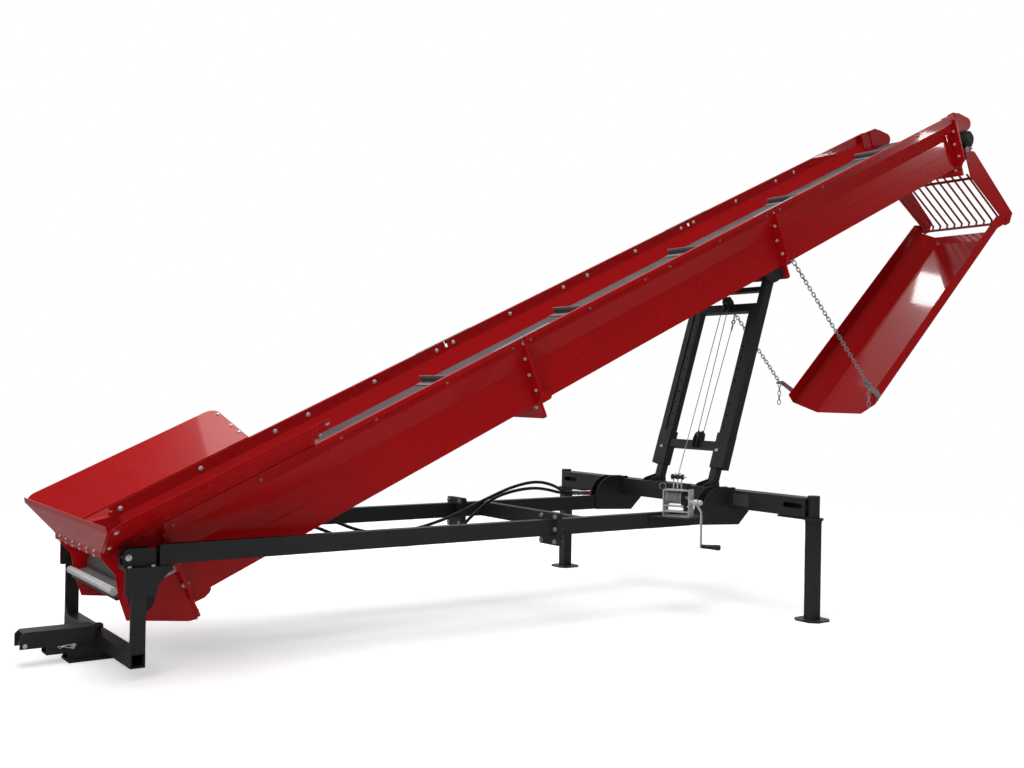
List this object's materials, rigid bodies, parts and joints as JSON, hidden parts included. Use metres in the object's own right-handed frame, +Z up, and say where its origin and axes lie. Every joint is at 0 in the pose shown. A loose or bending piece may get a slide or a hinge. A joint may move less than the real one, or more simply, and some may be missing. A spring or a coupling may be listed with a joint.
{
  "type": "firewood conveyor",
  "caption": "Inclined belt conveyor for split firewood with a loading hopper, a winch mast, a hinged outlet chute and a parking frame on two legs.",
  "frame": {"origin": "on the ground below the middle of the machine's box", "axes": "+X from the hitch to the head of the conveyor, +Y to the far side of the picture, +Z up"},
  "size_m": [6.686, 2.28, 3.1546],
  "materials": {
    "red_paint": "glossy red powder coat",
    "black_paint": "satin near-black powder coat",
    "zinc": "bright zinc plate",
    "steel": "machined steel",
    "belt_rubber": "dull dark grey belt",
    "hose_rubber": "black hose cover"
  },
  "bodies": {
    "frame": {"front_crossbeam": "black_paint", "hitch_tongue": "black_paint", "hitch_socket": "black_paint", "front_upright_near": "black_paint", "front_upright_far": "black_paint", "tail_clevis_near": "black_paint", "tail_clevis_far": "black_paint", "side_beam_near": "black_paint", "side_beam_far": "black_paint", "cross_member": "black_paint", "rear_crossbeam": "black_paint", "beam_gusset_near": "black_paint", "beam_gusset_far": "black_paint", "mast_feet": "black_paint", "winch_bracket": "black_paint", "winch_frame": "zinc", "winch_drum": "zinc", "winch_crank": "zinc", "cable_guide": "zinc", "hose_clamp": "zinc", "hose_couplings": "steel", "hose_upper": "hose_rubber", "hose_lower": "hose_rubber"},
    "conveyor": {"section_tail": "red_paint", "section_middle": "red_paint", "section_head": "red_paint", "tail_flange": "red_paint", "joint_flange_low": "red_paint", "joint_flange_high": "red_paint", "head_flange": "red_paint", "tail_box": "red_paint", "head_box": "red_paint", "hopper_front": "red_paint", "hopper_wing_near": "red_paint", "hopper_wing_far": "red_paint", "chute_arms": "red_paint", "chute_grille": "red_paint", "drive_motor": "black_paint", "mast_bracket": "black_paint", "head_drum": "black_paint", "tail_drum": "black_paint", "belt": "belt_rubber", "splice_strips": "zinc", "chain_lugs": "zinc"},
    "mast_lower": {"mast_tubes": "black_paint"},
    "mast_upper": {"mast_channels": "black_paint"},
    "chute": {"chute_tray": "red_paint", "chain_brackets": "red_paint"},
    "chain_near": {"chain_near": "zinc"},
    "chain_far": {"chain_far": "zinc"},
    "leg_near": {"leg_near": "black_paint"},
    "leg_far": {"leg_far": "black_paint"}
  },
  "joints": [
    {"name": "lift", "type": "hinge", "parent": "frame", "child": "conveyor", "pos_m": [-3.034, 0, 0.492], "axis": [0, -1, 0], "range_deg": [0, 11]},
    {"name": "mast_tilt", "type": "hinge", "parent": "frame", "child": "mast_lower", "pos_m": [0.462, 0, 0.65], "axis": [0, -1, 0], "range_deg": [0, 17]},
    {"name": "mast_slide", "type": "slide", "parent": "mast_lower", "child": "mast_upper", "axis": [0.3042, 0, 0.9526], "range_m": [0, 0.66]},
    {"name": "chute_tilt", "type": "hinge", "parent": "conveyor", "child": "chute", "pos_m": [3.258, 0, 2.478], "axis": [0, 1, 0], "range_deg": [0, 10]},
    {"name": "chain_near_swing", "type": "hinge", "parent": "conveyor", "child": "chain_near", "pos_m": [0.97196, -0.368, 1.99671], "axis": [0, -1, 0], "range_deg": [0, 6.5]},
    {"name": "chain_far_swing", "type": "hinge", "parent": "conveyor", "child": "chain_far", "pos_m": [0.97196, 0.368, 1.99671], "axis": [0, -1, 0], "range_deg": [0, 6.5]},
    {"name": "leg_near_swivel", "type": "hinge", "parent": "frame", "child": "leg_near", "pos_m": [0.377, -1.06, 0.594], "axis": [0, 0, 1], "range_deg": [0, 90]},
    {"name": "leg_far_swivel", "type": "hinge", "parent": "frame", "child": "leg_far", "pos_m": [0.377, 1.06, 0.594], "axis": [0, 0, -1], "range_deg": [0, 90]}
  ],
  "couplings": [
    {"joint": "mast_tilt", "follows": "lift", "ratio": 1.51},
    {"joint": "mast_slide", "follows": "lift", "m_per_rad": 3.37},
    {"joint": "chain_near_swing", "follows": "chute_tilt", "ratio": 0.6},
    {"joint": "chain_far_swing", "follows": "chute_tilt", "ratio": 0.6}
  ]
}
